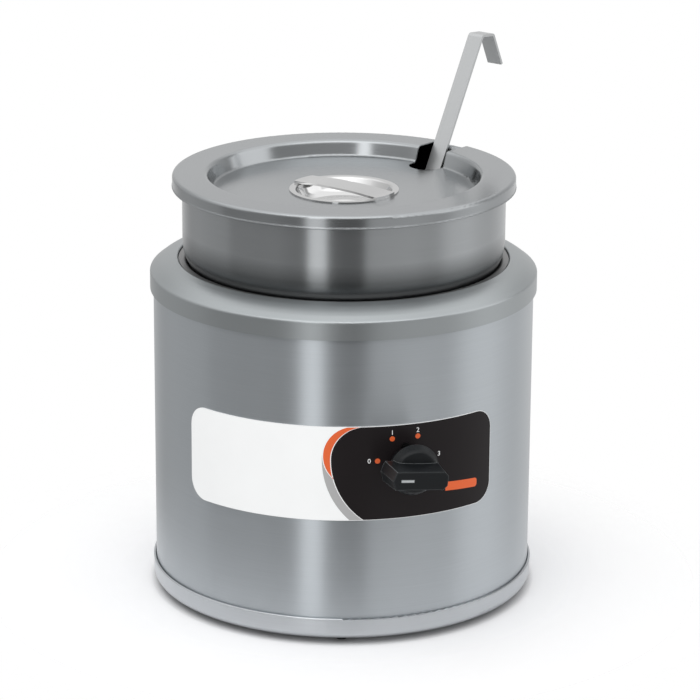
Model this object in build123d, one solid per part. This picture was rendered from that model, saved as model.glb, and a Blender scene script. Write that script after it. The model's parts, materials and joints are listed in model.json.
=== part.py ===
from build123d import *
import os
from math import cos, degrees, radians, sin, sqrt, tan

os.makedirs("parts", exist_ok=True)

# A round countertop soup warmer with an inset pot, a slotted lid and a ladle.
# Millimetres. z = 0 is the counter, the body's axis is Z, and -Y is the front.
# Angles round the body are in degrees from the front, towards +X.

# General clearances
seat_gap = 0.3           # between round pieces, and between those that lift off and their rests
fit_gap = 0.05           # between pieces fixed to each other
running_gap = 0.1        # round a shaft that turns
through = 40.0           # longer than any wall that a hole goes through

# Body: feet, ring, pan and shell
body_radius = 131.0
shell_wall = 0.8
shell_tail = 14.0        # width of the lap inside the rear seam
seam_angle = 160.0
seam_width = 0.8
seam_depth = 0.4
foot_height = 4.4
foot_radius = 11.0
foot_taper = 1.2
foot_inset = 24.0        # from the shell to the feet's circle
foot_nut_height = 4.0
foot_pad = 1.4           # rubber between the screw's head and the pan
foot_bore_gap = 1.0      # round the screw's head, in the foot
ring_lift = 3.6          # air under the ring
ring_height = 15.2
ring_wall = 0.8
ring_proud = 0.9         # air between the shell and the ring
ring_corner = 5.0
ring_lip = 9.0           # flat lip under the pan
ring_bead = 0.9          # radius of the bead along the ring's top edge
pan_wall = 1.0
pan_flange = 8.0
pan_round = 2.0
pan_boss_radius = 15.0
pan_boss_height = 8.0
vent_length = 26.0
vent_width = 4.0
vent_circle = 68.0
vent_pitch = 10.0
vents_per_side = 3

# Collar: a domed ring with a stepped seat inside its hole
collar_overhang = 2.3    # how far its skirt stands out from the shell
collar_wall = 1.0
collar_skirt = 12.4
collar_top = 235.3
collar_rise_outer = 6.4  # from the top of the skirt to the change of slope
collar_rise_inner = 2.9  # from there to the hole
collar_break = 11.0      # from the hole to the change of slope
collar_corner = 2.2
collar_break_round = 25.0
hole_space = 6.0         # from the well's inside to the hole
hole_round = 1.2
seat_drop = 2.6
seat_width = 4.0
seat_round = 0.4

# Well
well_space = 23.0        # from the shell's outside to the well's inside
well_wall = 1.0
well_corner = 10.0
well_lip_bend = 2.0

# Inset pot
pot_space = 5.0          # between the pot and the well's inside
pot_step = 7.8           # how much wider the pot's outside is above its shoulder
pot_wall = 0.9
pot_height = 204.2
pot_corner = 12.0
pot_bottom = 88.0
shoulder_rise = 11.7     # from the collar's top to the shoulder's
shoulder_angle = 40.0    # from upright
shoulder_round = 30.0
shoulder_fillet = 3.0
rim_roll = 1.7           # inner radius of the rolled rim
rim_flat = 0.6           # flat on top of the rim

# Lid
lid_space = 1.8          # from the pot's rolled rim to the lid's outside
lid_wall = 0.8
lid_skirt = 8.5
lid_hem = 0.7
lid_bend_low = 1.5       # inner radius at the sunk floor's edge
lid_bend_high = 3.0      # and at the rim's inner edge
lid_edge = 2.2
lid_rim_width = 23.8
lid_step_width = 3.7     # from the rim's inner edge in to the sunk floor's
lid_floor_drop = 11.0
lid_floor_dish = 1.4
notch_angle = 42.0       # from the rear towards the right
notch_width = 25.6
notch_length = 42.5
notch_fillet = 12.0
dish_radius = 37.5
dish_depth = 11.5
dish_flange = 3.5
dish_floor_radius = 27.0
dish_floor_round = 8.0
dish_lip_round = 1.8
dish_slope = 1.0         # from the dish's wall out to the lid's hole
dish_hole_gap = 1.4      # from the dish's wall to the lid's hole, under the flange
strap_angle = 38.5       # of its width, from the rear towards the right
strap_width = 20.0
strap_thickness = 1.5
strap_rise = 1.2
strap_flat = 14.0        # half the length of its flat middle
strap_foot = 5.5         # how far each end lies on the flange
strap_foot_round = 60.0
strap_top_round = 200.0

# Ladle
ladle_angle = 38.9       # where it leans on the pot's rim, from the rear towards the right
ladle_lean = 28.3
ladle_strip_width = 12.2
ladle_strip_thickness = 1.8
ladle_bowl_radius = 35.0
ladle_wall = 1.0
ladle_length = 293.4     # from the bowl's centre to the top bend, along the handle
hook_reach = 13.9
hook_tip = 26.0
hook_bend = 3.2
hook_turn_out = 66.3
hook_turn_down = 60.4
tang_angle = 24.0        # how far the handle's lower end follows the bowl

# Control panel, on the shell
panel_left_angle = -50.6
panel_right_angle = 48.9
panel_low = 88.5
panel_high = 154.0
panel_thickness = 0.6
panel_corner = 14.0

# Knob and thermostat
dial_angle = 18.4
dial_height = 128.0
knob_rest_turn = 5.5     # the knob at zero, turned from level
knob_radius = 17.5       # where the knob is widest
knob_lift = 3.4          # from the shell's surface to the knob's back edge
knob_edge = 18.0         # height of the widest circle over the shell
knob_shoulder = 24.5
knob_dome = 26.0
knob_reach = 41.5
knob_back_radius = 11.2
knob_shoulder_radius = 14.5
knob_back_round = 0.5
knob_edge_round = 0.8
knob_shoulder_round = 4.0
knob_hollow = 3.0
knob_skirt_wall = 2.2
knob_hub_wall = 3.0
knob_hub_lift = 0.6
grip_back = 19.5         # height of the nose's back over the shell
grip_width = 12.4
grip_flare = 0.6         # half the grip is wider by this at its back
grip_corner = 2.8
grip_edge = 0.6
grip_right = 15.6        # from the knob's axis to the grip's plain end
grip_left = 20.3         # from the knob's axis to where the nose starts
nose_reach = 22.6
nose_flare = 1.2         # the grip's ends reach further by this at its back
pointer_length = 8.7
pointer_width = 1.5
pointer_depth = 0.4
pointer_start = 8.2
stem_radius = 3.0
stem_flat = 1.0
stem_in_knob = 15.0
bushing_radius = 5.0
thermostat_width = 34.0
thermostat_height = 28.0
thermostat_depth = 14.0
thermostat_stand = 3.3   # from the shell's outside to the thermostat's face
thermostat_screw_spacing = 21.0
thermostat_screw_head = 2.8
thermostat_corner = 2.0
saddle_overhang = 2.0
tab_width = 6.3
tab_thickness = 0.8
tab_length = 8.0
tab_spread = 9.0
tab_depth = 6.2          # from the thermostat's face to its tabs

# Heater, stud and insulation under and round the well
heater_inset = 20.0      # from the well's inside to the heater's edge
heater_thickness = 4.5
plate_inset = 24.0       # from the heater's edge to the plate's
plate_wall = 2.0
plate_corner = 3.0       # outside, at its rim
plate_rim = 5.0
stud_radius = 3.0
stud_recess = 0.5        # from the pan's lower face up to the stud's end
nut_width = 10.0
nut_height = 5.0
washer_radius = 9.0
washer_height = 1.5
cutout_radius = 8.0
cutout_height = 9.0
cutout_inset = 11.0      # from the plate's edge to the cutout's middle
cutout_angle = 49.0
heater_tab_inset = 12.0
heater_tab_offset = 10.0
wrap_thickness = 8.0
wrap_low = 92.0
wrap_high = 205.0
wrap_window = 4.0        # room round the thermostat

# Mains inlet and wiring
gland_height = 35.0
gland_bore = 4.0
gland_radius = 10.0
gland_flange = 3.0
gland_edge = 1.0
gland_neck = 7.0
gland_length = 9.0
gland_nut_height = 4.0
block_width = 46.0
block_depth = 16.0
block_height = 16.0
block_inset = 39.0       # from the shell's outside to the block's middle
block_corner = 1.5
pole_spacing = 15.0
entry_depth = 5.0        # how far a lead goes into the block
entry_offset = 3.0       # from the block's middle to its leads
pole_screw_depth = 7.0
pole_screw_recess = 1.0
pole_screw_offset = 4.0
lead_radius = 1.5
lead_level = 50.0
load_drop = 22.0         # of the leads under the cutout's tabs
limit_drop = 24.0
return_rise = 4.0        # of the return lead's two ends from the lead level
return_drop = 8.0
wide_bend = 24.0
tight_bend = 9.0

# Screws
screw_radius = 2.0
screw_head_radius = 3.6
screw_head_height = 1.6

# Sizes worked out from those above
shell_inner = body_radius - shell_wall
collar_radius = body_radius + collar_overhang
well_radius = body_radius - well_space
hole_radius = well_radius + hole_space
pot_body_radius = well_radius - pot_space
pot_radius = pot_body_radius + pot_step
rim_radius = pot_radius + 2 * rim_roll + rim_flat + pot_wall
lid_radius = rim_radius + lid_space
lid_rim_inner = lid_radius - lid_rim_width
lid_floor_radius = lid_rim_inner - lid_step_width
notch_inner = lid_radius - notch_length
heater_radius = well_radius - heater_inset
plate_radius = heater_radius - plate_inset
heater_tab_circle = heater_radius - heater_tab_inset
foot_circle = body_radius - foot_inset
block_y = body_radius - block_inset
ring_radius = body_radius + ring_proud + ring_wall
ring_top = ring_lift + ring_height
pan_low = ring_lift + ring_wall
pan_radius = ring_radius - ring_corner - seat_gap
boss_top = pan_low + pan_boss_height
dome_slope = collar_rise_outer / (collar_radius - hole_radius - collar_break)
collar_shoulder = collar_top - collar_rise_inner - collar_rise_outer
seat_top = collar_top - seat_drop
shoulder_top = collar_top + shoulder_rise
ledge_top = seat_top + well_wall
well_outer = well_radius + well_wall
well_floor = pot_bottom - seat_gap
well_under = well_floor - well_wall
pot_top = pot_bottom + pot_height
lid_top = pot_top + seat_gap + lid_wall
lid_floor_edge = lid_top - lid_floor_drop
lid_floor_middle = lid_floor_edge - lid_floor_dish
panel_radius = body_radius + fit_gap
panel_face = fit_gap + panel_thickness
plate_low = well_under - heater_thickness - plate_wall
lid_hole_radius = dish_radius - dish_flange + dish_hole_gap
tab_plane = -thermostat_stand - tab_depth
cutout_tab_end = plate_low - cutout_height - tab_length - fit_gap
heater_tab_end = well_under - heater_thickness - tab_length - 2 * fit_gap
block_low = pan_low + pan_wall
block_top = block_low + block_height


def around(radius, angle, height=0):
    """A point at a radius and an angle from the front."""
    turn = radians(angle)
    return Vector(radius * sin(turn), -radius * cos(turn), height)


def turned(face):
    """Turns a (radius, height) face round the body's axis."""
    return revolve(Plane.XZ * face, Axis.Z)


def sheet_ring(points, radii, wall, side):
    """Turns a bent sheet whose drawn side follows (radius, height) points."""
    path = FilletPolyline(*points, radius=radii)
    return turned(make_face(offset(path, wall, side=side)))


def band(inner, outer, low, high):
    """A plain ring between two radii and two heights."""
    ring = Cylinder(outer, high - low) - Cylinder(inner, high - low + 2)
    return Pos(0, 0, (low + high) / 2) * ring


def rod(radius, low, high, x=0, y=0):
    """An upright cylinder between two heights."""
    return Pos(x, y, (low + high) / 2) * Cylinder(radius, high - low)


def block(length, depth, low, high, x=0, y=0):
    """An upright box between two heights."""
    return Pos(x, y, (low + high) / 2) * Box(length, depth, high - low)


def hex_nut(low, height, hole, x=0, y=0):
    """A nut with its flats nut_width apart."""
    outline = RegularPolygon(nut_width / 2, 6, major_radius=False)
    nut = extrude(outline, height) - rod(hole, -1, height + 1)
    return Pos(x, y, low) * nut


def pan_screw(head_low, tip, x, y):
    """A pan-head screw that points up, its head at the bottom."""
    head = rod(screw_head_radius, head_low, head_low + screw_head_height, x, y)
    return head + rod(screw_radius, head_low, tip, x, y)


def outward_plane(angle, height, radius=body_radius):
    """A plane on the shell: x to the right as seen from outside, y up, z outward."""
    turn = radians(angle)
    right = (cos(turn), sin(turn), 0)
    outward = (sin(turn), -cos(turn), 0)
    return Plane(around(radius, angle, height), right, outward)


dial = outward_plane(dial_angle, dial_height)
knob_place = dial * Rot(0, 0, -knob_rest_turn)
rear = outward_plane(180, gland_height)
foot_angles = {"front_right": 45, "rear_right": 135, "rear_left": 225, "front_left": 315}
foot_spots = [around(foot_circle, angle) for angle in foot_angles.values()]
lip_screw_circle = ring_radius - ring_corner - ring_lip / 2 + ring_wall
lip_spots = [around(lip_screw_circle, angle + 45) for angle in foot_angles.values()]


def dial_holes():
    """The bushing's hole and the two screws' holes, on the dial's axis."""
    holes = Cylinder(bushing_radius + fit_gap, through)
    for side in (-1, 1):
        spot = Pos(0, side * thermostat_screw_spacing / 2)
        holes += spot * Cylinder(screw_radius + fit_gap, through)
    return dial * holes


def outer_shell():
    corner_inner = ring_corner - ring_wall
    corner_x = body_radius - (ring_radius - ring_corner)
    low = ring_lift + ring_corner - sqrt(corner_inner ** 2 - corner_x ** 2) + seat_gap
    slant = sqrt(1 + dome_slope ** 2)
    under_collar = collar_shoulder + (collar_radius - body_radius) * dome_slope
    high = under_collar - collar_wall * slant - seat_gap
    shell = band(shell_inner, body_radius, low, high)
    tail_span = degrees(shell_tail / shell_inner)
    tail_face = Pos(shell_inner - shell_wall / 2, (low + high) / 2) * Rectangle(shell_wall, high - low)
    tail = revolve(Plane.XZ * tail_face, Axis.Z, tail_span)
    shell += Rot(0, 0, seam_angle - 90) * tail
    groove = Box(seam_width, 2 * seam_depth, body_radius * 2)
    shell -= Pos(*around(body_radius, seam_angle)) * Rot(0, 0, seam_angle) * groove
    shell -= dial_holes()
    return shell - rear * Cylinder(gland_neck + fit_gap, through)


def base_ring():
    bead_radius = ring_radius - ring_bead + seat_gap
    points = [
        (ring_radius - ring_corner - ring_lip + ring_wall, ring_lift),
        (ring_radius, ring_lift),
        (ring_radius, ring_top - ring_bead),
    ]
    ring = sheet_ring(points, ring_corner, ring_wall, Side.LEFT)
    ring += turned(Pos(bead_radius, ring_top - ring_bead) * Circle(ring_bead))
    for spot in lip_spots:
        ring -= rod(screw_radius + fit_gap, 0, block_low, spot.X, spot.Y)
    return ring


def bottom_pan():
    hole = stud_radius + fit_gap
    points = [
        (hole, boss_top),
        (pan_boss_radius, boss_top),
        (pan_boss_radius + pan_boss_height / 2, pan_low),
        (pan_radius, pan_low),
        (pan_radius, pan_low + pan_flange),
    ]
    pan = sheet_ring(points, pan_round, pan_wall, Side.LEFT)
    vent = Rot(0, 0, 90) * extrude(SlotOverall(vent_length, vent_width), boss_top)
    for turn in (0, 90, 180, 270):
        for number in range(vents_per_side):
            step = (number - (vents_per_side - 1) / 2) * vent_pitch
            pan -= Rot(0, 0, turn) * Pos(vent_circle + step, 0) * vent
    for spot in foot_spots + lip_spots:
        pan -= rod(screw_radius + fit_gap, 0, boss_top, spot.X, spot.Y)
    return pan


def foot(angle):
    spot = around(foot_circle, angle)
    pad = Pos(spot.X, spot.Y, 0) * extrude(Circle(foot_radius - foot_taper), foot_height)
    side = Pos(spot.X, spot.Y, foot_height) * Cone(foot_radius - foot_taper, foot_radius, foot_height)
    pad += Pos(0, 0, -foot_height / 2) * side
    pad -= rod(screw_head_radius + foot_bore_gap, -1, foot_height - foot_pad, spot.X, spot.Y)
    return pad - rod(screw_radius + fit_gap, 0, foot_height + 1, spot.X, spot.Y)


def foot_screws():
    head_low = foot_height - foot_pad - screw_head_height
    tip = block_low + nut_height
    return Compound(children=[pan_screw(head_low, tip, spot.X, spot.Y) for spot in foot_spots])


def foot_nuts():
    height = foot_nut_height
    hole = screw_radius + fit_gap
    return Compound(children=[hex_nut(block_low, height, hole, spot.X, spot.Y) for spot in foot_spots])


def pan_screws():
    head_low = ring_lift - screw_head_height
    tip = block_low + nut_height
    return Compound(children=[pan_screw(head_low, tip, spot.X, spot.Y) for spot in lip_spots])


def top_collar():
    points = [
        (collar_radius, collar_shoulder - collar_skirt),
        (collar_radius, collar_shoulder),
        (hole_radius + collar_break, collar_top - collar_rise_inner),
        (hole_radius, collar_top),
        (hole_radius, seat_top),
        (hole_radius - seat_width, seat_top),
    ]
    radii = [collar_corner, collar_break_round, hole_round, seat_round]
    return sheet_ring(points, radii, collar_wall, Side.LEFT)


def well_liner():
    points = [
        (0, well_floor),
        (well_radius, well_floor),
        (well_radius, ledge_top),
        (hole_radius - seat_gap * 2, ledge_top),
    ]
    return sheet_ring(points, [well_corner, well_lip_bend], well_wall, Side.RIGHT)


def inset_pot():
    turn = radians(shoulder_angle)
    corner_high = shoulder_top - shoulder_round * tan(turn / 2)
    corner_low = corner_high - (pot_radius - pot_body_radius) / tan(turn)
    roll_top = pot_top - pot_wall
    roll_outer = pot_radius + 2 * rim_roll + rim_flat
    points = [
        (0, pot_bottom),
        (pot_body_radius, pot_bottom),
        (pot_body_radius, corner_low),
        (pot_radius, corner_high),
        (pot_radius, roll_top),
        (roll_outer, roll_top),
        (roll_outer, roll_top - 2 * rim_roll),
    ]
    radii = [pot_corner, shoulder_fillet, shoulder_round, rim_roll, rim_roll]
    return sheet_ring(points, radii, pot_wall, Side.LEFT)


def notch_cutter():
    outline = Rectangle(notch_width, lid_radius, align=(Align.CENTER, Align.MIN))
    outline = fillet(outline.vertices().sort_by(Axis.Y)[:2], notch_fillet)
    cutter = extrude(Pos(0, notch_inner) * outline, through)
    return Rot(0, 0, -notch_angle) * Pos(0, 0, lid_top - through / 2) * cutter


def lid():
    points = [
        (lid_hole_radius, lid_floor_middle),
        (lid_floor_radius, lid_floor_edge),
        (lid_rim_inner, lid_top),
        (lid_radius, lid_top),
        (lid_radius, lid_top - lid_skirt),
    ]
    plate = sheet_ring(points, [lid_bend_low, lid_bend_high, lid_edge], lid_wall, Side.RIGHT)
    hem = turned(Pos(lid_radius - lid_hem / 2, lid_top - lid_skirt) * Circle(lid_hem))
    return plate + hem - notch_cutter()


def floor_height(radius):
    """Height of the lid's floor at a radius."""
    share = (radius - lid_hole_radius) / (lid_floor_radius - lid_hole_radius)
    return lid_floor_middle + share * lid_floor_dish


def dish_rim_top():
    return floor_height(dish_radius) + fit_gap + lid_wall


def lid_dish():
    top = dish_rim_top()
    wall_radius = dish_radius - dish_flange - dish_slope
    points = [
        (0, top - dish_depth),
        (dish_floor_radius, top - dish_depth),
        (wall_radius, top),
        (dish_radius, top),
    ]
    return sheet_ring(points, [dish_floor_round, dish_lip_round], lid_wall, Side.RIGHT)


def lid_handle():
    low = dish_rim_top() + fit_gap
    high = low + strap_rise
    foot_start = dish_radius - strap_foot
    points = [
        (-dish_radius - 1, low),
        (-foot_start, low),
        (-strap_flat, high),
        (strap_flat, high),
        (foot_start, low),
        (dish_radius + 1, low),
    ]
    radii = [strap_foot_round, strap_top_round, strap_top_round, strap_foot_round]
    path = FilletPolyline(*points, radius=radii)
    profile = make_face(offset(path, strap_thickness, side=Side.LEFT))
    strap = extrude(Plane.XZ * profile, strap_width / 2, both=True)
    strap &= rod(dish_radius - seat_gap, low - 1, low + through)
    return Rot(0, 0, -strap_angle) * strap


def ladle_place():
    """Where the ladle's own frame lies: its handle along z, its hook towards x."""
    lean = radians(ladle_lean)
    roll_radius = pot_radius + rim_roll
    rim_height = pot_top - pot_wall - rim_roll
    rim_curve = roll_radius - sqrt(roll_radius ** 2 - ladle_strip_width ** 2 / 4)
    reach = rim_roll + pot_wall + rim_curve + seat_gap + ladle_strip_thickness
    bowl_height = pot_bottom + pot_wall + seat_gap + ladle_bowl_radius
    rise = rim_height - bowl_height
    handle_side = (reach + ladle_bowl_radius + fit_gap) / cos(lean)
    offset_at_bowl = roll_radius - rise * tan(lean) - handle_side
    turn = radians(90 - ladle_angle)
    place = Plane(
        (offset_at_bowl * cos(turn), offset_at_bowl * sin(turn), bowl_height),
        (cos(lean) * cos(turn), cos(lean) * sin(turn), -sin(lean)),
        (sin(lean) * cos(turn), sin(lean) * sin(turn), cos(lean)),
    )
    return place


def ladle_bowl():
    radius = ladle_bowl_radius
    ball = Sphere(radius) - Sphere(radius - ladle_wall)
    bowl = ball - rod(radius + 1, 0, radius + 1)
    return ladle_place() * bowl


def ladle_handle():
    inner = ladle_bowl_radius + fit_gap
    out = radians(hook_turn_out)
    down = radians(hook_turn_out + hook_turn_down)
    bend = (inner, ladle_length)
    crest = (bend[0] + hook_reach * sin(out), bend[1] + hook_reach * cos(out))
    tip = (crest[0] + hook_tip * sin(down), crest[1] + hook_tip * cos(down))
    arc = CenterArc((0, 0), inner, -tang_angle, tang_angle)
    strip = FilletPolyline((inner, 0), bend, crest, tip, radius=[hook_bend, hook_bend])
    thickness = ladle_strip_thickness
    upper = make_face(offset(strip, thickness, side=Side.RIGHT))
    lower = make_face(offset(arc, thickness, side=Side.RIGHT))
    profile = upper + lower
    handle = extrude(Plane.XZ * profile, ladle_strip_width / 2, both=True)
    return ladle_place() * handle


def control_panel():
    span = panel_right_angle - panel_left_angle
    height = panel_high - panel_low
    middle = (panel_low + panel_high) / 2
    face = Pos(panel_radius + panel_thickness / 2, middle) * Rectangle(panel_thickness, height)
    panel = revolve(Plane.XZ * face, Axis.Z, span)
    panel = Rot(0, 0, panel_left_angle - 90) * panel
    inset = degrees(panel_corner / panel_radius)
    corner = Box(2 * panel_corner, 2 * panel_corner, through)
    for angle, side in ((panel_left_angle + inset, -1), (panel_right_angle - inset, 1)):
        for level, up in ((panel_low + panel_corner, -1), (panel_high - panel_corner, 1)):
            waste = Pos(side * panel_corner, up * panel_corner) * corner
            waste -= Cylinder(panel_corner, through)
            panel -= outward_plane(angle, level) * waste
    return panel - dial_holes()


def grip_section(height, longer, wider):
    """The grip's outline at one height over the shell, its nose to the left."""
    half = grip_width / 2 + wider
    right = grip_right + longer
    points = [
        (-nose_reach - longer, 0),
        (-grip_left - longer, -half),
        (right - grip_corner, -half),
        (right, -half + grip_corner),
        (right, half - grip_corner),
        (right - grip_corner, half),
        (-grip_left - longer, half),
    ]
    return Pos(0, 0, height) * make_face(Polyline(*points, close=True))


def stem_section(grow=0):
    """The stem's D shape."""
    flat = stem_radius - stem_flat + grow
    waste = Pos(0, flat) * Rectangle(3 * stem_radius, stem_radius, align=(Align.CENTER, Align.MIN))
    return Circle(stem_radius + grow) - waste


def knob_outline():
    """Half of the knob's round profile, from its back edge to its top."""
    points = [
        (0, knob_lift),
        (knob_back_radius, knob_lift),
        (knob_radius, knob_edge),
        (knob_shoulder_radius, knob_shoulder),
        (0, knob_dome),
    ]
    rounds = [knob_back_round, knob_edge_round, knob_shoulder_round]
    rounded = FilletPolyline(*points, radius=rounds)
    return make_face(rounded + Line((0, knob_dome), (0, knob_lift)))


def control_knob():
    back = grip_section(grip_back, nose_flare, grip_flare)
    front = grip_section(knob_reach, 0, 0)
    grip = loft([back, front], ruled=True)
    grip = fillet(grip.faces().sort_by(Axis.Z)[-1].edges(), grip_edge)
    knob = turned(knob_outline()) + grip
    knob -= rod(knob_back_radius - knob_skirt_wall, 0, knob_lift + knob_hollow)
    knob += rod(stem_radius + knob_hub_wall, knob_lift + knob_hub_lift, knob_lift + knob_hollow)
    bore = extrude(stem_section(fit_gap), knob_lift + stem_in_knob + fit_gap)
    knob -= bore
    knob -= Pos(0, 0, knob_reach - pointer_depth) * pointer_bar(fit_gap)
    return knob_place * knob


def pointer_bar(grow=0):
    length = pointer_length + 2 * grow
    middle = -(pointer_start + pointer_length / 2)
    outline = Rectangle(length, pointer_width + 2 * grow)
    return Pos(middle, 0, 0) * extrude(outline, pointer_depth + grow)


def knob_pointer_line():
    return knob_place * Pos(0, 0, knob_reach - pointer_depth + fit_gap) * pointer_bar()


def thermostat_stem():
    length = thermostat_stand + knob_lift + stem_in_knob
    plain = thermostat_stand + panel_face
    stem = Pos(0, 0, -thermostat_stand) * extrude(stem_section(), length)
    stem += rod(stem_radius, tab_plane, -thermostat_stand + plain)
    return knob_place * stem


def thermostat_body():
    face = -thermostat_stand
    body = block(thermostat_width, thermostat_height, face - thermostat_depth, face)
    body = fillet(body.edges().filter_by(Axis.Z), thermostat_corner)
    body += rod(bushing_radius, face, 0)
    body -= rod(stem_radius + running_gap, tab_plane - running_gap, 1)
    for side in (-1, 1):
        y = side * thermostat_screw_spacing / 2
        body -= rod(screw_radius + fit_gap, tab_plane, 1, 0, y)
    return dial * body


def thermostat_saddle():
    """Packs the flat thermostat against the round shell."""
    face = -thermostat_stand
    width = thermostat_width + 2 * saddle_overhang
    saddle = dial * block(width, thermostat_height, face + fit_gap, 0)
    saddle &= rod(shell_inner - seat_gap, 0, collar_top)
    return saddle - dial_holes()


def thermostat_screws():
    screws = []
    for side in (-1, 1):
        y = side * thermostat_screw_spacing / 2
        head_low = panel_face + fit_gap
        head = rod(thermostat_screw_head, head_low, panel_face + screw_head_height, 0, y)
        screws.append(dial * (head + rod(screw_radius, tab_plane + 1, head_low, 0, y)))
    return Compound(children=screws)


def thermostat_terminals():
    tab = Box(tab_width, tab_length, tab_thickness, align=(Align.CENTER, Align.MAX, Align.CENTER))
    top = -thermostat_height / 2 - fit_gap
    tabs = [dial * Pos(side * tab_spread, top, tab_plane) * tab for side in (-1, 1)]
    return Compound(children=tabs)


def thermostat_tab_end(side):
    """The lower end of a thermostat tab, in the body's frame."""
    low = -thermostat_height / 2 - fit_gap - tab_length
    return dial.from_local_coords(Vector(side * tab_spread, low, tab_plane))


def insulation_wrap():
    inner = well_outer + seat_gap
    wrap = band(inner, inner + wrap_thickness, wrap_low, wrap_high)
    width = thermostat_width + 2 * wrap_window
    height = thermostat_height + 2 * tab_length + 2 * wrap_window
    return wrap - dial * Box(width, height, 4 * thermostat_depth)


def heater_disc():
    disc = rod(heater_radius, well_under - heater_thickness, well_under)
    return disc - rod(stud_radius + fit_gap, 0, well_under + 1)


def heater_tab_spots():
    rear_tab = Vector(-pole_spacing, heater_tab_circle, 0)
    return [rear_tab, Vector(heater_tab_offset, -heater_tab_circle, 0)]


def heater_terminals():
    top = well_under - heater_thickness - fit_gap
    tabs = []
    for spot in heater_tab_spots():
        tabs.append(block(tab_width, tab_thickness, top - tab_length, top, spot.X, spot.Y))
    return Compound(children=tabs)


def pressure_plate():
    points = [
        (stud_radius + fit_gap, plate_low),
        (plate_radius, plate_low),
        (plate_radius, plate_low - plate_rim),
    ]
    return sheet_ring(points, plate_corner, plate_wall, Side.LEFT)


def cutout_tab(side):
    """Where a tab of the cutout ends."""
    middle = around(plate_radius - cutout_inset, cutout_angle)
    return middle + Vector(side * cutout_radius / 2, 0, cutout_tab_end)


def limit_cutout():
    middle = around(plate_radius - cutout_inset, cutout_angle)
    low = plate_low - cutout_height
    body = rod(cutout_radius, low, plate_low - fit_gap, middle.X, middle.Y)
    for side in (-1, 1):
        spot = cutout_tab(side)
        body += block(tab_thickness, tab_width, low - tab_length, low, spot.X, spot.Y)
    return body


def well_stud():
    return rod(stud_radius, pan_low + stud_recess, well_under)


def stud_nuts():
    hole = stud_radius + fit_gap
    upper = hex_nut(plate_low - nut_height - washer_height, nut_height, hole)
    lower = hex_nut(boss_top - nut_height, nut_height, hole)
    return Compound(children=[upper, lower])


def stud_washer():
    low = plate_low - washer_height
    return rod(washer_radius, low, plate_low) - rod(stud_radius + fit_gap, low - 1, plate_low + 1)


def cord_gland():
    inner = -shell_wall - gland_length
    gland = Cylinder(gland_radius, gland_flange, align=(Align.CENTER, Align.CENTER, Align.MIN))
    gland = fillet(gland.edges().sort_by(Axis.Z)[-1], gland_edge)
    gland = Pos(0, 0, fit_gap) * gland + rod(gland_neck, inner, fit_gap + 1)
    return rear * (gland - rod(gland_bore, inner - 1, gland_flange + 1))


def gland_nut():
    """A nut inside the shell, clear of its curve."""
    sag = shell_inner - sqrt(shell_inner ** 2 - (gland_radius + 1) ** 2)
    top = -shell_wall - sag - fit_gap
    outline = RegularPolygon(gland_radius, 6, major_radius=False)
    nut = Pos(0, 0, top - gland_nut_height) * extrude(outline, gland_nut_height)
    return rear * (nut - rod(gland_neck + fit_gap, top - through, 1))


def terminal_block():
    body = block(block_width, block_depth, block_low, block_top, 0, block_y)
    body = fillet(body.edges().filter_by(Axis.Z), block_corner)
    for pole in (-1, 0, 1):
        x = pole * pole_spacing
        entry_y = block_y - entry_offset
        screw_y = block_y + pole_screw_offset
        body -= rod(lead_radius + fit_gap, block_top - entry_depth, block_top + 1, x, entry_y)
        body -= rod(screw_radius + fit_gap, block_top - pole_screw_depth, block_top + 1, x, screw_y)
    return body


def terminal_screws():
    low = block_top - pole_screw_depth + pole_screw_recess
    high = block_top - pole_screw_recess
    screw = rod(screw_radius, low, high, 0, block_y + pole_screw_offset)
    return Compound(children=[Pos(pole * pole_spacing, 0) * screw for pole in (-1, 0, 1)])


def lead(points, radii):
    """A wire along straight runs joined by tangent arcs."""
    path = FilletPolyline(*points, radius=radii)
    section = Plane(path @ 0, z_dir=path % 0) * Circle(lead_radius)
    return sweep(section, path)


def block_entry(pole):
    """Where a lead ends inside the terminal block."""
    return Vector(pole * pole_spacing, block_y - entry_offset, block_top - entry_depth + fit_gap)


def at_level(point, level):
    return Vector(point.X, point.Y, level)


def feed_lead():
    start = thermostat_tab_end(-1) - Vector(0, 0, fit_gap)
    end = block_entry(1)
    route = [start, at_level(start, lead_level), at_level(end, lead_level), end]
    return lead(route, [wide_bend, tight_bend])


def load_lead():
    start = thermostat_tab_end(1) - Vector(0, 0, fit_gap)
    end = cutout_tab(1)
    level = cutout_tab_end - load_drop
    return lead([start, at_level(start, level), at_level(end, level), end], [wide_bend, tight_bend])


def limit_lead():
    start = cutout_tab(-1)
    end = at_level(heater_tab_spots()[1], heater_tab_end)
    level = cutout_tab_end - limit_drop
    return lead([start, at_level(start, level), at_level(end, level), end], tight_bend)


def return_lead():
    start = at_level(heater_tab_spots()[0], heater_tab_end)
    end = block_entry(-1)
    near = at_level(start, lead_level + return_rise)
    route = [start, near, at_level(end, lead_level - return_drop), end]
    return lead(route, tight_bend)


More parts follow.
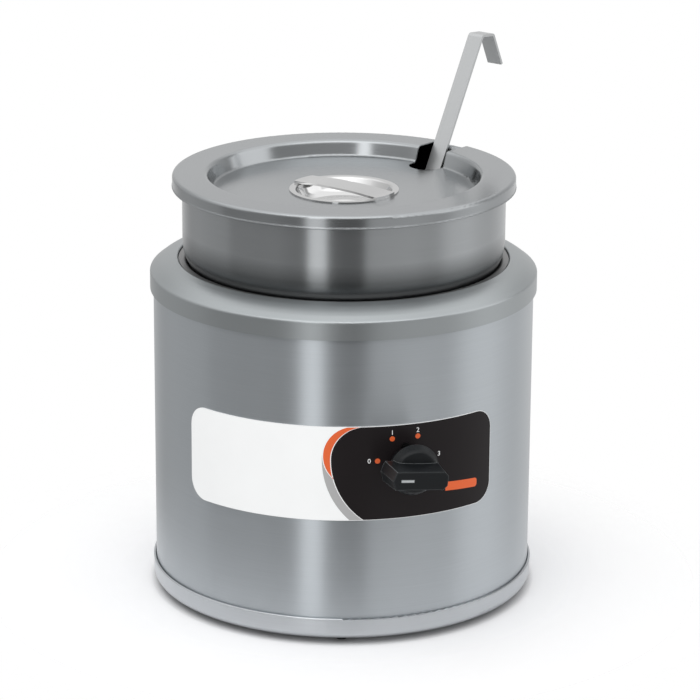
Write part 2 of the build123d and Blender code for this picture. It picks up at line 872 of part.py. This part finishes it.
nodes = {
    "outer_shell": outer_shell,
    "top_collar": top_collar,
    "base_ring": base_ring,
    "bottom_pan": bottom_pan,
    "foot_screws": foot_screws,
    "foot_nuts": foot_nuts,
    "pan_screws": pan_screws,
    "well_liner": well_liner,
    "inset_pot": inset_pot,
    "lid": lid,
    "lid_dish": lid_dish,
    "lid_handle": lid_handle,
    "ladle_bowl": ladle_bowl,
    "ladle_handle": ladle_handle,
    "control_panel": control_panel,
    "control_knob": control_knob,
    "knob_pointer_line": knob_pointer_line,
    "thermostat_stem": thermostat_stem,
    "thermostat_body": thermostat_body,
    "thermostat_saddle": thermostat_saddle,
    "thermostat_screws": thermostat_screws,
    "thermostat_terminals": thermostat_terminals,
    "insulation_wrap": insulation_wrap,
    "heater_disc": heater_disc,
    "heater_terminals": heater_terminals,
    "pressure_plate": pressure_plate,
    "limit_cutout": limit_cutout,
    "well_stud": well_stud,
    "stud_nuts": stud_nuts,
    "stud_washer": stud_washer,
    "cord_gland": cord_gland,
    "gland_nut": gland_nut,
    "terminal_block": terminal_block,
    "terminal_screws": terminal_screws,
    "feed_lead": feed_lead,
    "load_lead": load_lead,
    "limit_lead": limit_lead,
    "return_lead": return_lead,
}

for name, make in nodes.items():
    export_step(make(), f"parts/{name}.step")
for corner_name, corner_angle in foot_angles.items():
    export_step(foot(corner_angle), f"parts/foot_{corner_name}.step")
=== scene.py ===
import json
import math

import bmesh
import bpy
from mathutils import Matrix, Vector


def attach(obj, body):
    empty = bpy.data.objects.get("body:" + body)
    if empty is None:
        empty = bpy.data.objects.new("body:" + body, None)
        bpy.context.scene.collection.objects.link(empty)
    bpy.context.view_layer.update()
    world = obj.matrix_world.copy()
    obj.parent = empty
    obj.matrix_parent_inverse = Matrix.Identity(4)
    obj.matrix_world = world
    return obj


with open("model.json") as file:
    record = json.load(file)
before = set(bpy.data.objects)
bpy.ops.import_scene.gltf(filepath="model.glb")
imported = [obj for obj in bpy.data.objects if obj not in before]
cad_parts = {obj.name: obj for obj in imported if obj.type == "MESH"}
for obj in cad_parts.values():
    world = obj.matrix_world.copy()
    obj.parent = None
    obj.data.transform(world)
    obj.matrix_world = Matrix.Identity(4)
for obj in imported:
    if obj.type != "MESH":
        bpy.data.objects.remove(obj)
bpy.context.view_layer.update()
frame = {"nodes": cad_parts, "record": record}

# A round countertop soup warmer: looks, printed panel, studio and camera.
# Metres. z = 0 is the counter, the body's axis is Z, and -Y is the front.
# Angles round the body are in degrees from the front, towards +X.

# Camera
camera_back = 2.154
camera_height = 0.8397
camera_down = 17.368      # degrees below the horizon
camera_turn = -0.127
camera_roll = 0.366
camera_lens = 167.03      # millimetres, as is the sensor's width
camera_sensor = 36.0
camera_reach = 20.0

# Panel, as the solid has it
shell_radius = 0.131
panel_face = 0.13165
panel_right = 48.9
panel_low = 0.0885
panel_high = 0.154
panel_corner = 0.014
dial_angle = 18.4
dial_height = 0.128

# Print on the panel: places are (arc length from the front, height)
print_lift = 0.00004      # each layer of ink over the one below
panel_margin = 0.0003
print_gap = 0.0006        # white film between two inks
divider_left = -0.0076    # where the black field reaches furthest left
divider_level = 0.131
divider_top_radius = 0.023
divider_low_radius = 0.052
orange_centre = (0.0080, 0.1335)
orange_radius = 0.0208
orange_low = 0.1180
grey_centre = (0.0440, 0.1310)
grey_radius = 0.0576
grey_high = 0.1340
bar_start = 0.072
bar_end = 0.0988
bar_level = 0.1040
bar_rise = 0.0022         # how much higher the bar starts than it ends
bar_height = 0.0062
bar_corner = bar_height / 3
dot_circle = 0.0190
dot_size = 0.0018
number_size = 0.0046
number_up = 0.0042        # from a dot to the number over it
number_aside = 0.0056     # from a dot to the number beside it
beside_from = 0.9         # cosine of a mark's angle from which its number stands beside it
marks = {"0": 174.5, "1": 118.7, "2": 62.9, "3": 7.0}    # degrees from the right, anticlockwise

# Fineness of the print's mesh
strip_width = 0.002       # of the flat strips that follow the panel's curve
edge_steps = 48           # straight pieces in each long curved edge
corner_steps = 12
bar_corner_steps = 6
dot_sides = 24
numeral_steps = 4

# Ladle, as the solid has it
ladle_lean = 28.3
ladle_angle = 38.9

# Floor
floor_radius = 0.28
floor_sides = 96
floor_clear_from = 0.15   # the disc fades out from here to its edge
floor_colour = (0.80, 0.80, 0.81)
floor_seen = (1.08, 1.08, 1.09)
painted_shade_reach = 0.007     # how near the object painted shade darkens the floor further
# colour of the painted shade on the floor right beside the object
painted_contact_shade = (0.34, 0.34, 0.35)
contact_samples = 8

# Colours of the panel
orange = (0.76, 0.13, 0.035)
stripe_grey = (0.42, 0.42, 0.42)
ink_black = (0.0130, 0.0105, 0.0112)
film_white = (0.93, 0.94, 0.94)

# Spun steels: colour, roughness, and how far their highlights stretch up and down
shell_finish = ((0.475, 0.505, 0.53), 0.34, 0.85)
ring_finish = ((0.52, 0.54, 0.56), 0.30, 0.5)
pot_finish = ((0.375, 0.39, 0.40), 0.25, 0.88)
lid_finish = ((0.36, 0.375, 0.385), 0.20, 0.6)
upright_turn = 0.25       # turns the stretch upright, as a share of a full turn

# Detail of a noise: how many finer layers it has
smooth = 1.0
plain = 2.0
fine = 3.0

# Grain of the spun steels
grain_along = 3.0         # noise cells to a radian round the axis
grain_across = 2500.0     # and to a metre across the grain
grain_depth = 0.000004
grain_dark = 0.93         # of the colour, at the grain's lows
grain_light = 1.05
grain_wear = 0.03         # of roughness
cloud_scale = 9.0
cloud_wear = 0.02

# Edges rounded by shading
ring_soft = 0.0008
lid_soft = 0.0015
soft_samples = 4

# Collar
collar_dark = (0.365, 0.388, 0.398)
collar_light = (0.405, 0.428, 0.438)
collar_rough = (0.34, 0.40)
collar_stretch = 0.6
collar_speck = 2600.0
collar_cloud = 14.0
collar_depth = 0.00002

# Painted shade round the pot's shoulder, in place of the dark reflection of the gap below it
shoulder_shade_colour = (0.16, 0.168, 0.172)
shoulder_shade_level = 0.241       # height of its middle, at rest
shoulder_shade_core = 0.004        # half its height at its darkest
shoulder_shade_reach = 0.017

# Polished steel
polish_colour = (0.60, 0.60, 0.60)
polish_rough = (0.04, 0.11)
polish_haze = 400.0
polish_wave = 60.0
polish_depth = 0.00003

# Ladle's steel
ladle_dark = (0.46, 0.47, 0.475)
ladle_light = (0.52, 0.53, 0.535)
ladle_rough = (0.30, 0.38)
ladle_metal = 0.7
ladle_across = 2400.0
ladle_along = 25.0
ladle_depth = 0.000002

# Plated and plain metals, by slot: colour and roughness
plated_finishes = {
    "well_metal": ((0.30, 0.30, 0.30), 0.45),
    "plated_steel": ((0.55, 0.54, 0.50), 0.3),
    "blackened_steel": ((0.03, 0.03, 0.03), 0.45),
    "brass_tab": ((0.70, 0.50, 0.22), 0.3),
    "heater_plate": ((0.35, 0.34, 0.33), 0.5),
}
plate_spots = 300.0
plate_dark = 0.85
plate_light = 1.08
plate_smoother = 0.06
plate_rougher = 0.08
plate_depth = 0.00001

# Moulded pieces, by slot: colour and roughness
moulded_finishes = {
    "foot_rubber": ((0.02, 0.02, 0.02), 0.7),
    "pointer_paint": ((0.42, 0.44, 0.45), 0.4),
    "phenolic": ((0.05, 0.022, 0.012), 0.5),
    "gland_nylon": ((0.02, 0.02, 0.02), 0.45),
    "lead_sleeve": ((0.55, 0.50, 0.42), 0.6),
}
mould_texture = 900.0
mould_depth = 0.00003
mould_mottle = 0.15       # change of colour, as a share
mould_gloss = 0.5
mould_cloud = 40.0
mould_wear = 0.06

# Wool
wool_finish = ((0.75, 0.72, 0.60), 0.95)
wool_texture = 500.0
wool_depth = 0.0006

# Film and ink
print_rough = 0.32
print_texture = 1500.0
print_depth = 0.000003
print_mottle = 0.02
print_gloss = 0.3
black_gloss = 0.15

# Knob
knob_black = (0.0075, 0.0088, 0.0100)
# colour of the painted highlight along the knob's edges
knob_edge_highlight = (0.20, 0.215, 0.22)
knob_rough = 0.30
knob_texture = 1200.0
knob_depth = 0.00001
knob_gloss = 0.2
knob_edge_width = 0.0008
knob_edge_samples = 6
knob_edge_turn = 0.80     # how far a normal turns where the painted highlight is full, as a cosine

# Nodes whose finish differs from the rest of their slot
node_looks = {"thermostat_screws": "blackened_steel", "pan_screws": "blackened_steel"}

# What the metal mirrors: (azimuth in degrees from the front towards +X, brightness)
studio_low = [
    (-180, 0.78), (-140, 0.48), (-125, 0.55), (-90, 0.48), (-86, 0.34), (-50, 0.38), (-26, 0.25),
    (-24.5, 1.25), (-12.5, 1.25), (-11, 0.21), (0, 0.18), (13, 0.17), (17, 0.62), (50, 0.68),
    (70, 0.60), (82, 0.84), (98, 0.92), (112, 0.80), (128, 0.74), (140, 0.76), (180, 0.78),
]
studio_high = [
    (-180, 0.82), (-140, 0.68), (-100, 0.82), (-75, 0.95), (-60, 0.48), (-25, 0.45), (-23, 2.20),
    (-13, 2.20), (-11, 0.33), (26, 0.33), (66, 0.40), (72, 1.50), (112, 1.50), (116, 0.50),
    (150, 0.70), (180, 0.82),
]
studio_over_front = (2.2, 2.2, 2.2)
studio_over_rear = (1.3, 1.3, 1.3)
high_from = 0.12          # rise of a unit direction at which the high screens are whole
over_from = 0.42          # and the rises between which they give way to the overhead ones
over_full = 0.72
rear_from = -0.4          # and the depths between which their front gives way to their rear
rear_full = -0.1
room_light = 0.85         # what lights the object from all round
backdrop = (1.0, 1.0, 1.0)

# Lamps: azimuth, height, distance, side and power in watts
key_lamp = (-40, 2.0, 0.9, 1.4, 8)
front_lamp = (15, 0.9, 2.2, 1.2, 6)
lamp_aim = 0.15           # height that they face


class Graph:
    """A node tree, and short ways to add nodes to it."""

    def __init__(self, tree):
        self.nodes = tree.nodes
        self.links = tree.links

    def add(self, kind, inputs=(), **settings):
        """Adds a node, with its settings, and fills its first inputs."""
        node = self.nodes.new(kind)
        for name, value in settings.items():
            setattr(node, name, value)
        for index, value in enumerate(inputs):
            self.fill(node.inputs[index], value)
        return node

    def fill(self, socket, value):
        """Sets a socket to a value or a colour, or links it to another socket."""
        if isinstance(value, bpy.types.NodeSocket):
            self.links.new(value, socket)
        elif isinstance(value, tuple):
            socket.default_value = (*value, 1.0) if len(socket.default_value) == 4 else value
        else:
            socket.default_value = value

    def maths(self, operation, *values):
        return self.add("ShaderNodeMath", values, operation=operation).outputs[0]

    def split(self, place):
        parts = self.add("ShaderNodeSeparateXYZ", [place])
        return parts.outputs[0], parts.outputs[1], parts.outputs[2]

    def vector(self, x, y, z):
        return self.add("ShaderNodeCombineXYZ", [x, y, z]).outputs[0]

    def azimuth(self, x, y):
        """The angle round the body from the front, towards +X, in radians."""
        return self.maths("ARCTAN2", x, self.maths("MULTIPLY", y, -1.0))

    def radius(self, x, y):
        square = self.maths("ADD", self.maths("POWER", x, 2.0), self.maths("POWER", y, 2.0))
        return self.maths("SQRT", square)

    def spread(self, factor, low, high, start=0.0, end=1.0):
        """Maps a factor from start..end to low..high, clamped."""
        return self.add("ShaderNodeMapRange", [factor, start, end, low, high]).outputs[0]

    def blend(self, factor, first, second):
        """Mixes two colours."""
        node = self.add("ShaderNodeMix", data_type="RGBA")
        self.fill(node.inputs["Factor"], factor)
        self.fill(node.inputs[6], first)
        self.fill(node.inputs[7], second)
        return node.outputs[2]


class Look(Graph):
    """A Principled material."""

    def __init__(self, name, colour, roughness, metallic=0.0):
        self.material = bpy.data.materials.new(name)
        self.material.use_nodes = True
        super().__init__(self.material.node_tree)
        self.shader = self.nodes["Principled BSDF"]
        self.set("Base Color", colour)
        self.set("Roughness", roughness)
        self.set("Metallic", metallic)

    def set(self, name, value):
        self.fill(self.shader.inputs[name], value)

    def place(self):
        """The surface point in the piece's own space."""
        return self.add("ShaderNodeTexCoord").outputs["Object"]

    def noise(self, place, scale, detail=plain):
        node = self.add("ShaderNodeTexNoise", [place])
        node.inputs["Scale"].default_value = scale
        node.inputs["Detail"].default_value = detail
        return node.outputs[0]

    def bump(self, height, depth):
        """Raises the surface by up to depth metres."""
        node = self.add("ShaderNodeBump")
        node.inputs["Distance"].default_value = depth
        self.links.new(height, node.inputs["Height"])
        self.set("Normal", node.outputs[0])


def shade(colour, factor):
    return tuple(factor * part for part in colour)


def round_grain(look):
    """Fine lines that run round the body's axis."""
    x, y, z = look.split(look.place())
    place = look.vector(
        look.maths("MULTIPLY", look.azimuth(x, y), grain_along),
        look.maths("MULTIPLY", look.radius(x, y), grain_across),
        look.maths("MULTIPLY", z, grain_across),
    )
    return look.noise(place, 1.0, fine)


def spun_steel(name, colour, roughness, stretch):
    """Steel rolled or spun round the axis, so that its highlights stretch up and down."""
    look = Look(name, colour, roughness, 1.0)
    grain = round_grain(look)
    cloud = look.noise(look.place(), cloud_scale)
    look.set("Base Color", look.blend(grain, shade(colour, grain_dark), shade(colour, grain_light)))
    wear = look.spread(grain, -grain_wear, grain_wear)
    haze = look.spread(cloud, -cloud_wear, cloud_wear)
    look.set("Roughness", look.maths("ADD", look.maths("ADD", wear, haze), roughness))
    look.bump(grain, grain_depth)
    stretch_upright(look, stretch)
    return look


def stretch_upright(look, stretch):
    """Stretches the highlights up and down."""
    tangent = look.add("ShaderNodeTangent", direction_type="RADIAL", axis="Z")
    look.set("Tangent", tangent.outputs[0])
    look.set("Anisotropic", stretch)
    look.set("Anisotropic Rotation", upright_turn)


def soften(look, width):
    """Rounds the shading over the edges of the solid's faces."""
    bevel = look.add("ShaderNodeBevel", [width], samples=soft_samples)
    bump = look.shader.inputs["Normal"].links[0].from_node
    look.fill(bump.inputs["Normal"], bevel.outputs[0])


def shell_steel():
    return spun_steel("shell_steel", *shell_finish).material


def collar_grey():
    look = Look("collar_grey", collar_light, collar_rough[0], 1.0)
    place = look.place()
    speck = look.noise(place, collar_speck)
    cloud = look.noise(place, collar_cloud)
    look.set("Base Color", look.blend(speck, collar_dark, collar_light))
    look.set("Roughness", look.spread(cloud, *collar_rough))
    look.bump(speck, collar_depth)
    stretch_upright(look, collar_stretch)
    return look.material


def ring_bright():
    look = spun_steel("ring_bright", *ring_finish)
    soften(look, ring_soft)
    return look.material


def paint_shoulder_shade(look):
    """Paints shade on the steel in a soft band round the pot's shoulder, in place of the dark
    reflection of the gap below it.
    """
    unshaded_steel = look.shader.inputs["Base Color"].links[0].from_socket
    height = look.split(look.place())[2]
    away = look.maths("ABSOLUTE", look.maths("SUBTRACT", height, shoulder_shade_level))
    unshaded = look.spread(away, 0.0, 1.0, shoulder_shade_core, shoulder_shade_reach)
    look.set("Base Color", look.blend(unshaded, shoulder_shade_colour, unshaded_steel))


def pot_steel():
    look = spun_steel("pot_steel", *pot_finish)
    # painted shade in a band round the shoulder
    paint_shoulder_shade(look)
    return look.material


def lid_steel():
    look = spun_steel("lid_steel", *lid_finish)
    soften(look, lid_soft)
    return look.material


def polished_steel():
    look = Look("polished_steel", polish_colour, polish_rough[0], 1.0)
    place = look.place()
    wave = look.noise(place, polish_wave, smooth)
    haze = look.noise(place, polish_haze, fine)
    look.set("Roughness", look.spread(haze, *polish_rough))
    look.bump(wave, polish_depth)
    return look.material


def along_handle(look):
    """The surface point, with its last part along the leaning handle."""
    turn = look.add("ShaderNodeVectorRotate", [look.place()], rotation_type="EULER_XYZ", invert=True)
    lean = (0, math.radians(ladle_lean), math.radians(90 - ladle_angle))
    turn.inputs["Rotation"].default_value = lean
    return look.split(turn.outputs[0])


def ladle_steel():
    """Steel whose grain runs along the leaning handle."""
    look = Look("ladle_steel", ladle_light, ladle_rough[0], ladle_metal)
    x, y, z = along_handle(look)
    place = look.vector(
        look.maths("MULTIPLY", x, ladle_across),
        look.maths("MULTIPLY", y, ladle_across),
        look.maths("MULTIPLY", z, ladle_along),
    )
    grain = look.noise(place, 1.0)
    look.set("Base Color", look.blend(grain, ladle_dark, ladle_light))
    look.set("Roughness", look.spread(grain, *ladle_rough))
    look.bump(grain, ladle_depth)
    return look.material


def plated_steel(name, colour, roughness):
    look = Look(name, colour, roughness, 1.0)
    spots = look.noise(look.place(), plate_spots, fine)
    look.set("Base Color", look.blend(spots, shade(colour, plate_dark), shade(colour, plate_light)))
    look.set("Roughness", look.spread(spots, roughness - plate_smoother, roughness + plate_rougher))
    look.bump(spots, plate_depth)
    return look.material


def mottled(name, colour, roughness, texture, depth, mottle, gloss):
    """A plain surface with a fine texture and clouds of a slightly different shade."""
    look = Look(name, colour, roughness)
    place = look.place()
    grain = look.noise(place, texture)
    cloud = look.noise(place, mould_cloud)
    look.set("Base Color", look.blend(cloud, shade(colour, 1 - mottle), shade(colour, 1 + mottle)))
    look.set("Roughness", look.spread(grain, roughness - mould_wear, roughness + mould_wear))
    look.set("Specular IOR Level", gloss)
    look.bump(grain, depth)
    return look


def moulded(name, colour, roughness, texture=mould_texture, depth=mould_depth):
    """Moulded plastic, rubber, paint or a pressed mat."""
    return mottled(name, colour, roughness, texture, depth, mould_mottle, mould_gloss).material


def printed(name, colour, gloss=print_gloss):
    """Smooth film or ink."""
    return mottled(name, colour, print_rough, print_texture, print_depth, print_mottle, gloss).material


def knob_plastic():
    """Black plastic, with a painted highlight along its edges."""
    look = mottled(
        "knob_plastic", knob_black, knob_rough, knob_texture, knob_depth, mould_mottle, knob_gloss
    )
    # painted highlight: paler where the surface turns sharply at an edge
    bevel = look.add("ShaderNodeBevel", [knob_edge_width], samples=knob_edge_samples)
    flat = look.add("ShaderNodeNewGeometry").outputs["Normal"]
    bend = look.add("ShaderNodeVectorMath", [bevel.outputs[0], flat], operation="DOT_PRODUCT")
    edge_highlight = look.spread(bend.outputs["Value"], 1.0, 0.0, knob_edge_turn, 1.0)
    look.set("Base Color", look.blend(edge_highlight, knob_black, knob_edge_highlight))
    return look.material


def make_looks():
    """One material for each of the record's slots, and one more for blackened screws."""
    looks = {
        "shell_steel": shell_steel(),
        "cast_grey": collar_grey(),
        "ring_bright": ring_bright(),
        "pot_steel": pot_steel(),
        "lid_steel": lid_steel(),
        "polished_steel": polished_steel(),
        "ladle_steel": ladle_steel(),
        "panel_film": printed("panel_film", film_white),
        "knob_plastic": knob_plastic(),
        "glass_wool": moulded("glass_wool", *wool_finish, wool_texture, wool_depth),
    }
    for slot, finish in plated_finishes.items():
        looks[slot] = plated_steel(slot, *finish)
    for slot, finish in moulded_finishes.items():
        looks[slot] = moulded(slot, *finish)
    return looks


def dress_nodes(looks):
    """Gives each node of the solid the material that its slot in the record names."""
    for part in frame["record"]["subparts"]:
        piece = frame["nodes"][part["node"]]
        if not piece.data.materials:
            piece.data.materials.append(None)
        look = node_looks.get(part["node"], part["material_slot"])
        for holder in piece.material_slots:
            holder.material = looks[look]


def outline_mesh(name, points):
    """A flat filled face through (arc length, height) points."""
    mesh = bpy.data.meshes.new(name)
    build = bmesh.new()
    build.faces.new([build.verts.new((along, 0, high)) for along, high in points])
    build.to_mesh(mesh)
    build.free()
    return mesh


def cut_in_strips(build):
    """Cuts a flat mesh into upright strips, narrow enough to follow the panel's curve."""
    reach = max(abs(vertex.co.x) for vertex in build.verts)
    cuts = int(reach / strip_width) + 1
    for number in range(-cuts, cuts + 1):
        parts = build.verts[:] + build.edges[:] + build.faces[:]
        place = (number * strip_width, 0, 0)
        bmesh.ops.bisect_plane(build, geom=parts, plane_co=place, plane_no=(1, 0, 0))


def wrap_on_panel(name, mesh, material, layer=1):
    """Bends a flat mesh, drawn in arc length and height, round the panel."""
    build = bmesh.new()
    build.from_mesh(mesh)
    cut_in_strips(build)
    radius = panel_face + layer * print_lift
    for vertex in build.verts:
        turn = vertex.co.x / shell_radius
        vertex.co = (radius * math.sin(turn), -radius * math.cos(turn), vertex.co.z)
    build.to_mesh(mesh)
    build.free()
    piece = bpy.data.objects.new(name, mesh)
    bpy.context.scene.collection.objects.link(piece)
    mesh.materials.append(material)
    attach(piece, "base")


def arc(centre, radius, start, end, steps):
    """Points along an arc, angles in degrees from the right, anticlockwise."""
    points = []
    for number in range(steps + 1):
        turn = math.radians(start + (end - start) * number / steps)
        points.append((centre[0] + radius * math.cos(turn), centre[1] + radius * math.sin(turn)))
    return points


def heights(low, high):
    """Evenly spaced heights for a curved edge."""
    return [low + (high - low) * number / edge_steps for number in range(edge_steps + 1)]


def left_side(centre, radius, level):
    """How far left a circle reaches at a height."""
    rise = min(abs(level - centre[1]), radius)
    return centre[0] - math.sqrt(radius ** 2 - rise ** 2)


def divider(level):
    """The black field's left edge at a height: a tight curve over a wide one."""
    radius = divider_top_radius if level > divider_level else divider_low_radius
    return left_side((divider_left + radius, divider_level), radius, level)


def between(name, left, right, low, high):
    """A flat shape between two edges, each given by its place at a height."""
    levels = heights(low, high)
    points = [(left(level), level) for level in levels]
    points += [(right(level), level) for level in reversed(levels)]
    return outline_mesh(name, points)


def black_field(low, high):
    right = math.radians(panel_right) * shell_radius - panel_margin
    corner = panel_corner - panel_margin
    points = [(divider(level), level) for level in heights(high, low)]
    points += arc((right - corner, low + corner), corner, -90, 0, corner_steps)
    points += arc((right - corner, high - corner), corner, 0, 90, corner_steps)
    return outline_mesh("panel_black_field", points)


def orange_stripe(high):
    """The tapering stripe beside the divider's upper part."""
    return between(
        "panel_orange_stripe",
        lambda level: left_side(orange_centre, orange_radius, level),
        lambda level: divider(level) - print_gap,
        orange_low,
        high,
    )


def grey_stripe(low):
    """The tapering stripe beside the divider's lower part."""
    def right(level):
        edge = divider(level)
        if level > orange_low:
            edge = min(edge, left_side(orange_centre, orange_radius, level))
        return edge - print_gap

    return between(
        "panel_grey_stripe",
        lambda level: left_side(grey_centre, grey_radius, level),
        right,
        low,
        grey_high,
    )


def plain_bar():
    half = bar_height / 2
    across = bar_end - bar_corner
    up = half - bar_corner
    start = bar_level + bar_rise
    points = [(bar_start, start + half), (bar_start, start - half)]
    points += arc((across, bar_level - up), bar_corner, -90, 0, bar_corner_steps)
    points += arc((across, bar_level + up), bar_corner, 0, 90, bar_corner_steps)
    return outline_mesh("panel_orange_bar", points)


def dot_mesh(centre):
    last = 360 - 360 / dot_sides
    return outline_mesh("dot", arc(centre, dot_size, 0, last, dot_sides - 1))


def dial_point(angle):
    """A place on the dots' circle, at an angle from the right."""
    turn = math.radians(angle)
    along = math.radians(dial_angle) * shell_radius + dot_circle * math.cos(turn)
    return along, dial_height + dot_circle * math.sin(turn)


def number_place(angle):
    """Outer marks have their number beside them, the others above."""
    along, high = dial_point(angle)
    beside = math.cos(math.radians(angle))
    if abs(beside) > beside_from:
        return along + math.copysign(number_aside, beside), high
    return along, high + number_up


def number_mesh(text, centre):
    """A numeral as a flat mesh, its middle at a place on the panel."""
    curve = bpy.data.curves.new("number_" + text, "FONT")
    curve.body = text
    curve.size = number_size
    curve.align_x = "CENTER"
    curve.align_y = "CENTER"
    curve.resolution_u = numeral_steps
    maker = bpy.data.objects.new("number_maker", curve)
    bpy.context.scene.collection.objects.link(maker)
    bpy.context.view_layer.update()
    mesh = bpy.data.meshes.new_from_object(maker)
    bpy.data.objects.remove(maker)
    for vertex in mesh.vertices:
        vertex.co = (vertex.co.x + centre[0], 0, vertex.co.y + centre[1])
    return mesh


def print_panel():
    black = printed("ink_black", ink_black, black_gloss)
    bright = printed("ink_orange", orange)
    grey = printed("ink_grey", stripe_grey)
    pale = printed("ink_white", film_white)
    low = panel_low + panel_margin
    high = panel_high - panel_margin
    wrap_on_panel("panel_black_field", black_field(low, high), black)
    wrap_on_panel("panel_orange_stripe", orange_stripe(high), bright)
    wrap_on_panel("panel_grey_stripe", grey_stripe(low), grey)
    wrap_on_panel("panel_orange_bar", plain_bar(), bright, layer=2)
    for text, angle in marks.items():
        number = number_mesh(text, number_place(angle))
        wrap_on_panel("dial_dot_" + text, dot_mesh(dial_point(angle)), bright, layer=2)
        wrap_on_panel("dial_number_" + text, number, pale, layer=2)


def make_camera():
    data = bpy.data.cameras.new("camera")
    data.lens = camera_lens
    data.sensor_width = camera_sensor
    data.clip_end = camera_reach
    camera = bpy.data.objects.new("camera", data)
    turn = Matrix.Rotation(math.radians(camera_turn), 4, "Z")
    tilt = Matrix.Rotation(math.radians(90 - camera_down), 4, "X")
    roll = Matrix.Rotation(math.radians(camera_roll), 4, "Z")
    place = Matrix.Translation((0, -camera_back, camera_height))
    camera.matrix_world = place @ turn @ tilt @ roll
    bpy.context.scene.collection.objects.link(camera)
    bpy.context.scene.camera = camera


def soft_box(name, azimuth, height, distance, side, power):
    """A square lamp that faces the object, and that metal doesn't mirror."""
    lamp = bpy.data.lights.new(name, "AREA")
    lamp.shape = "SQUARE"
    lamp.size = side
    lamp.energy = power
    box = bpy.data.objects.new(name, lamp)
    turn = math.radians(azimuth)
    box.location = (distance * math.sin(turn), -distance * math.cos(turn), height)
    aim = Vector((0, 0, lamp_aim)) - box.location
    box.rotation_mode = "QUATERNION"
    box.rotation_quaternion = aim.to_track_quat("-Z", "Y")
    box.visible_glossy = False
    bpy.context.scene.collection.objects.link(box)


def studio_ramp(graph, share, stops):
    """A colour ramp with one stop for each azimuth and its level."""
    ramp = graph.add("ShaderNodeValToRGB", [share])
    elements = ramp.color_ramp.elements
    for azimuth, level in stops[1:-1]:
        elements.new((azimuth + 180) / 360)
    for element, (azimuth, level) in zip(elements, stops):
        element.color = (level, level, level, 1)
    return ramp.outputs[0]


def mirrored_studio(graph):
    """The studio's screens: two rings of walls, and an overhead in two halves."""
    x, y, z = graph.split(graph.add("ShaderNodeTexCoord").outputs["Generated"])
    share = graph.spread(graph.azimuth(x, y), 0.0, 1.0, -math.pi, math.pi)
    low = studio_ramp(graph, share, studio_low)
    high = studio_ramp(graph, share, studio_high)
    walls = graph.blend(graph.spread(z, 0.0, 1.0, 0.0, high_from), low, high)
    rearward = graph.spread(y, 0.0, 1.0, rear_from, rear_full)
    top = graph.blend(rearward, studio_over_front, studio_over_rear)
    return graph.blend(graph.spread(z, 0.0, 1.0, over_from, over_full), walls, top)


def seen_rays(graph, *kinds):
    """1 for rays of the named kinds, else 0."""
    path = graph.add("ShaderNodeLightPath").outputs
    seen = path[kinds[0]]
    for kind in kinds[1:]:
        seen = graph.maths("MAXIMUM", seen, path[kind])
    return seen


def make_world():
    """An even white room, which metal mirrors as a studio of pale and dark screens."""
    world = bpy.data.worlds.new("studio")
    world.use_nodes = True
    bpy.context.scene.world = world
    graph = Graph(world.node_tree)
    even = (room_light, room_light, room_light)
    lit = graph.blend(seen_rays(graph, "Is Glossy Ray"), even, mirrored_studio(graph))
    seen = seen_rays(graph, "Is Camera Ray", "Is Transmission Ray")
    graph.fill(graph.nodes["Background"].inputs["Color"], graph.blend(seen, lit, backdrop))


def floor_paper():
    """White paper, with painted shade right beside the object, that fades out towards the disc's edge.
    """
    material = bpy.data.materials.new("floor_paper")
    material.use_nodes = True
    graph = Graph(material.node_tree)
    graph.nodes.remove(graph.nodes["Principled BSDF"])
    seen = seen_rays(graph, "Is Camera Ray", "Is Transmission Ray", "Is Glossy Ray")
    colour = graph.blend(seen, floor_colour, floor_seen)
    # painted shade: the floor is darker where the object is near
    open_air = graph.add("ShaderNodeAmbientOcclusion", samples=contact_samples)
    open_air.inputs["Distance"].default_value = painted_shade_reach
    shaded = graph.blend(open_air.outputs["AO"], painted_contact_shade, colour)
    paper = graph.add("ShaderNodeBsdfDiffuse", [shaded])
    clear = graph.add("ShaderNodeBsdfTransparent")
    x, y = graph.split(graph.add("ShaderNodeTexCoord").outputs["Object"])[:2]
    fade = graph.spread(graph.radius(x, y), 0.0, 1.0, floor_clear_from, floor_radius)
    surface = graph.add("ShaderNodeMixShader", [fade, paper.outputs[0], clear.outputs[0]])
    graph.fill(graph.nodes["Material Output"].inputs["Surface"], surface.outputs[0])
    return material


def make_floor():
    """A pale disc that carries the object's shadow."""
    mesh = bpy.data.meshes.new("floor")
    build = bmesh.new()
    bmesh.ops.create_circle(build, cap_ends=True, radius=floor_radius, segments=floor_sides)
    build.to_mesh(mesh)
    build.free()
    floor = bpy.data.objects.new("floor", mesh)
    bpy.context.scene.collection.objects.link(floor)
    mesh.materials.append(floor_paper())


bpy.context.scene.view_settings.view_transform = "Standard"
make_camera()
dress_nodes(make_looks())
print_panel()
make_world()
make_floor()
soft_box("key_light", *key_lamp)
soft_box("front_light", *front_lamp)
